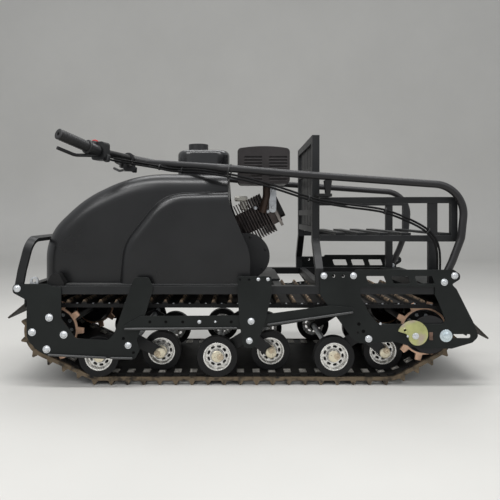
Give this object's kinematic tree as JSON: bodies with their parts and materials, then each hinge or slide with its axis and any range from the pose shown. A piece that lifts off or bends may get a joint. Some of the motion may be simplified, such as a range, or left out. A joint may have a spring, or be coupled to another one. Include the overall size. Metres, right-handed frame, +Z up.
{
  "type": "tracked snow towing vehicle",
  "caption": "Walk-behind snow tug on one wide rubber track, with a black moulded hood, open side-frame plates, engine, cargo rack and a fold-over tiller hinged at the rear",
  "frame": {"origin": "on the ground, under the centre of the overall bounding box", "axes": "+Z up, the front of the machine looks along -X and its left side is at -Y"},
  "size_m": [1.5504, 0.7386, 0.812],
  "materials": {
    "bar_steel": "gloss black paint",
    "black_iron": "black painted iron",
    "black_steel": "black paint",
    "cable_rubber": "black cable sheath",
    "cam_zinc": "yellow passivated zinc plating",
    "cap_plastic": "matt black plastic",
    "cover_plastic": "matt black plastic",
    "engine_alloy": "sand-cast alloy",
    "engine_cast": "satin black paint",
    "exhaust_steel": "heat-browned steel",
    "flap_rubber": "matt black rubber sheet",
    "frame_paint": "satin black powder coat",
    "grip_rubber": "ribbed black rubber",
    "hood_plastic": "satin black moulded plastic",
    "lever_alloy": "polished alloy",
    "muffler_black": "matt black heat-proof paint",
    "panel_plastic": "matt black plastic",
    "plate_paint": "satin black powder coat",
    "rest_rubber": "matt black rubber",
    "sprocket_steel": "copper-brown plated steel",
    "tank_paint": "satin black paint",
    "track_rubber": "matt black moulded rubber",
    "tube_paint": "gloss black paint",
    "wheel_tyre": "matt black rubber",
    "wheel_zinc": "bright zinc plating",
    "zinc_steel": "bright zinc plating"
  },
  "bodies": {
    "chassis": {"axle_bearings": "black_iron", "bogie_pivots": "zinc_steel", "bogie_rockers": "black_steel", "cargo_hoop": "frame_paint", "cross_members": "frame_paint", "drive_axles": "black_iron", "drive_cover": "cover_plastic", "engine_block": "engine_cast", "engine_cylinder": "engine_alloy", "engine_mount": "frame_paint", "exhaust_pipe": "exhaust_steel", "front_bumper": "frame_paint", "front_flap": "flap_rubber", "front_guard": "plate_paint", "front_plates": "plate_paint", "fuel_tank": "tank_paint", "hood": "hood_plastic", "hood_buffers": "rest_rubber", "hoop_panel": "panel_plastic", "lower_rails": "plate_paint", "middle_plates": "plate_paint", "muffler_bracket": "zinc_steel", "muffler_guard": "muffler_black", "rack_floor": "frame_paint", "rack_sides": "frame_paint", "rear_bar": "zinc_steel", "rear_flap": "flap_rubber", "rear_guard": "plate_paint", "rear_plates": "plate_paint", "recoil_starter": "cover_plastic", "sprockets": "sprocket_steel", "tank_cap": "cap_plastic", "tension_cams": "cam_zinc", "tiller_pins": "zinc_steel", "tiller_rests": "rest_rubber", "tow_eyes": "zinc_steel", "tow_hitch": "frame_paint", "track_loop": "track_rubber", "upper_rails": "frame_paint", "valve_cover": "engine_cast", "wheel_rims": "wheel_zinc", "wheel_shafts": "zinc_steel", "wheel_tyres": "wheel_tyre"},
    "tiller": {"tiller_frame": "tube_paint", "handlebar": "bar_steel", "handgrips": "grip_rubber", "control_pods": "cover_plastic", "brake_levers": "lever_alloy", "throttle_cable": "cable_rubber", "brake_cable": "cable_rubber", "cable_clip": "cover_plastic"}
  },
  "joints": [
    {"name": "tiller_fold", "type": "hinge", "parent": "chassis", "child": "tiller", "pos_m": [0.618, 0, 0.335], "axis": [0, 1, 0], "range_deg": [0, 120]}
  ]
}
